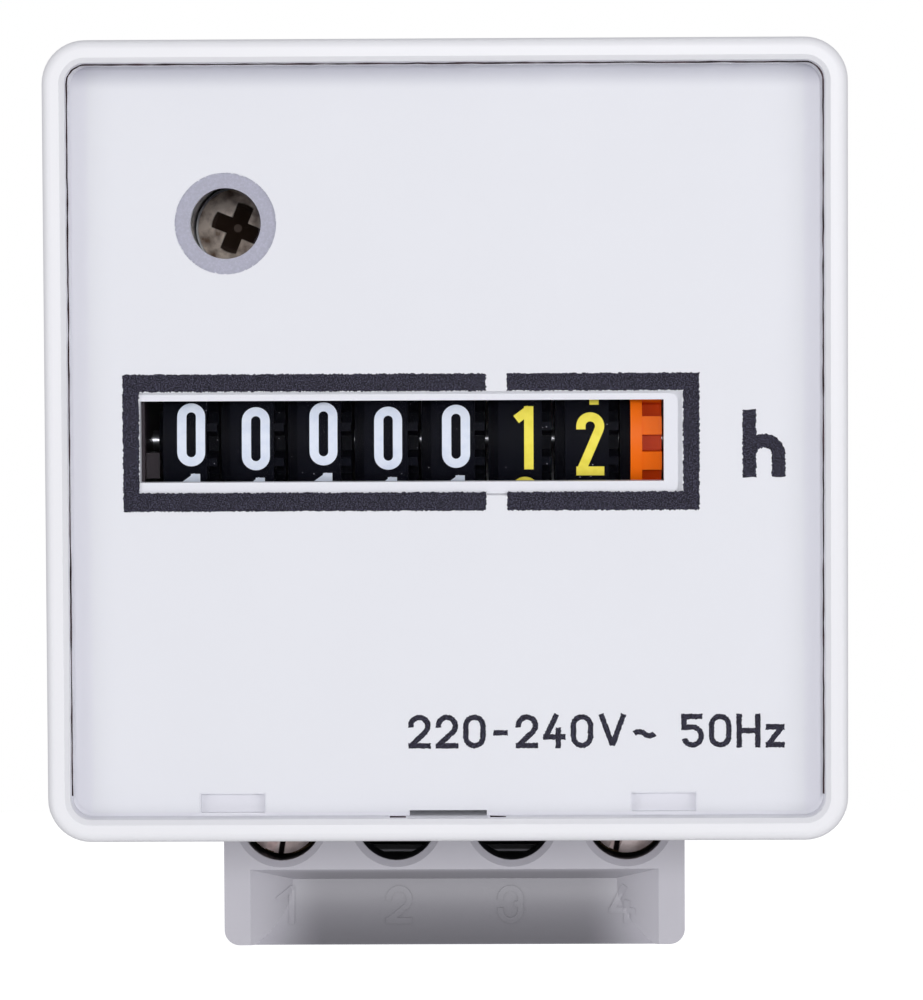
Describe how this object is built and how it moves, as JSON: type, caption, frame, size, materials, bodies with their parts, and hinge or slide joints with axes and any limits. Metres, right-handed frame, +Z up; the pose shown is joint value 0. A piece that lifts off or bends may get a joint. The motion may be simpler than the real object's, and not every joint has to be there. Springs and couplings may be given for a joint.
{
  "type": "hour meter",
  "caption": "Square hour meter with a drum counter behind a clear window, plugged onto a wall base with screw terminals and driven by a small synchronous motor.",
  "frame": {"origin": "middle of the base's wall face, level with the centre of the bezel", "axes": "+X to the right seen from the front, +Y into the wall, +Z up; the front faces -Y"},
  "size_m": [0.048, 0.042, 0.058],
  "materials": {
    "white_plastic": "satin white moulding",
    "clear_plastic": "clear, polished",
    "dial_print": "printed white sheet",
    "carrier_white": "matt white moulding",
    "black_plastic": "matt black, digits printed",
    "orange_plastic": "matt orange",
    "gear_plastic": "natural white gear plastic",
    "bobbin_plastic": "matt cream",
    "magnet": "plastic-bonded ferrite",
    "grey_plastic": "satin light grey moulding",
    "steel": "plated",
    "screw_steel": "nickel plated",
    "brass": "bright",
    "copper": "enamelled wire"
  },
  "bodies": {
    "case": {"housing": "white_plastic", "rear_cover": "white_plastic", "window": "clear_plastic", "dial": "dial_print", "carrier": "carrier_white", "counter_bracket": "black_plastic", "gear_plate": "brass", "pinion_shaft": "steel", "train_pins": "steel", "motor_can": "steel", "motor_cover": "steel", "coil_bobbin": "bobbin_plastic", "coil_winding": "copper", "plug_blades": "brass", "contact_strips": "brass", "wire_clamps": "brass", "threaded_insert": "brass", "fixing_screw": "screw_steel", "terminal_screws": "screw_steel", "socket_base": "grey_plastic", "base_cover": "grey_plastic"},
    "second_wheel": {"second_wheel": "brass"},
    "first_wheel": {"first_wheel": "gear_plastic"},
    "rotor": {"rotor_magnet": "magnet", "rotor_shaft": "steel"},
    "counter_drive": {"drum_shaft": "steel", "run_indicator": "orange_plastic", "drive_flange": "black_plastic", "final_wheel": "brass"},
    "ten_thousands_drum": {"drum_ten_thousands": "black_plastic"},
    "ten_thousands_pinion": {"pinion_ten_thousands": "gear_plastic"},
    "thousands_drum": {"drum_thousands": "black_plastic"},
    "thousands_pinion": {"pinion_thousands": "gear_plastic"},
    "hundreds_drum": {"drum_hundreds": "black_plastic"},
    "hundreds_pinion": {"pinion_hundreds": "gear_plastic"},
    "tens_drum": {"drum_tens": "black_plastic"},
    "tens_pinion": {"pinion_tens": "gear_plastic"},
    "units_drum": {"drum_units": "black_plastic"},
    "units_pinion": {"pinion_units": "gear_plastic"},
    "tenths_drum": {"drum_tenths": "black_plastic"},
    "tenths_pinion": {"pinion_tenths": "gear_plastic"},
    "hundredths_drum": {"drum_hundredths": "black_plastic"},
    "hundredths_pinion": {"pinion_hundredths": "gear_plastic"}
  },
  "joints": [
    {"name": "second_wheel_turn", "type": "hinge", "parent": "case", "child": "second_wheel", "pos_m": [0, -0.02426, -0.00155], "axis": [1, 0, 0], "continuous": true},
    {"name": "first_wheel_turn", "type": "hinge", "parent": "case", "child": "first_wheel", "pos_m": [0, -0.02835, -0.00698], "axis": [1, 0, 0], "continuous": true},
    {"name": "rotor_turn", "type": "hinge", "parent": "case", "child": "rotor", "pos_m": [0, -0.02475, -0.01298], "axis": [1, 0, 0], "continuous": true},
    {"name": "counter_drive_turn", "type": "hinge", "parent": "case", "child": "counter_drive", "pos_m": [0, -0.03135, -0.0003], "axis": [1, 0, 0], "continuous": true},
    {"name": "ten_thousands_drum_turn", "type": "hinge", "parent": "case", "child": "ten_thousands_drum", "pos_m": [0, -0.03135, -0.0003], "axis": [1, 0, 0], "continuous": true},
    {"name": "ten_thousands_pinion_turn", "type": "hinge", "parent": "case", "child": "ten_thousands_pinion", "pos_m": [0, -0.02425, 0.00486], "axis": [1, 0, 0], "continuous": true},
    {"name": "thousands_drum_turn", "type": "hinge", "parent": "case", "child": "thousands_drum", "pos_m": [0, -0.03135, -0.0003], "axis": [1, 0, 0], "continuous": true},
    {"name": "thousands_pinion_turn", "type": "hinge", "parent": "case", "child": "thousands_pinion", "pos_m": [0, -0.02425, 0.00486], "axis": [1, 0, 0], "continuous": true},
    {"name": "hundreds_drum_turn", "type": "hinge", "parent": "case", "child": "hundreds_drum", "pos_m": [0, -0.03135, -0.0003], "axis": [1, 0, 0], "continuous": true},
    {"name": "hundreds_pinion_turn", "type": "hinge", "parent": "case", "child": "hundreds_pinion", "pos_m": [0, -0.02425, 0.00486], "axis": [1, 0, 0], "continuous": true},
    {"name": "tens_drum_turn", "type": "hinge", "parent": "case", "child": "tens_drum", "pos_m": [0, -0.03135, -0.0003], "axis": [1, 0, 0], "continuous": true},
    {"name": "tens_pinion_turn", "type": "hinge", "parent": "case", "child": "tens_pinion", "pos_m": [0, -0.02425, 0.00486], "axis": [1, 0, 0], "continuous": true},
    {"name": "units_drum_turn", "type": "hinge", "parent": "case", "child": "units_drum", "pos_m": [0, -0.03135, -0.0003], "axis": [1, 0, 0], "continuous": true},
    {"name": "units_pinion_turn", "type": "hinge", "parent": "case", "child": "units_pinion", "pos_m": [0, -0.02425, 0.00486], "axis": [1, 0, 0], "continuous": true},
    {"name": "tenths_drum_turn", "type": "hinge", "parent": "case", "child": "tenths_drum", "pos_m": [0, -0.03135, -0.0003], "axis": [1, 0, 0], "continuous": true},
    {"name": "tenths_pinion_turn", "type": "hinge", "parent": "case", "child": "tenths_pinion", "pos_m": [0, -0.02425, 0.00486], "axis": [1, 0, 0], "continuous": true},
    {"name": "hundredths_drum_turn", "type": "hinge", "parent": "case", "child": "hundredths_drum", "pos_m": [0, -0.03135, -0.0003], "axis": [1, 0, 0], "continuous": true},
    {"name": "hundredths_pinion_turn", "type": "hinge", "parent": "case", "child": "hundredths_pinion", "pos_m": [0, -0.02425, 0.00486], "axis": [1, 0, 0], "continuous": true}
  ],
  "couplings": [
    {"joint": "first_wheel_turn", "follows": "second_wheel_turn", "ratio": -7.5},
    {"joint": "rotor_turn", "follows": "second_wheel_turn", "ratio": 45},
    {"joint": "counter_drive_turn", "follows": "second_wheel_turn", "ratio": -0.125},
    {"joint": "ten_thousands_pinion_turn", "follows": "ten_thousands_drum_turn", "ratio": -2.5},
    {"joint": "thousands_pinion_turn", "follows": "thousands_drum_turn", "ratio": -2.5},
    {"joint": "hundreds_pinion_turn", "follows": "hundreds_drum_turn", "ratio": -2.5},
    {"joint": "tens_pinion_turn", "follows": "tens_drum_turn", "ratio": -2.5},
    {"joint": "units_pinion_turn", "follows": "units_drum_turn", "ratio": -2.5},
    {"joint": "tenths_pinion_turn", "follows": "tenths_drum_turn", "ratio": -2.5},
    {"joint": "hundredths_pinion_turn", "follows": "hundredths_drum_turn", "ratio": -2.5}
  ]
}
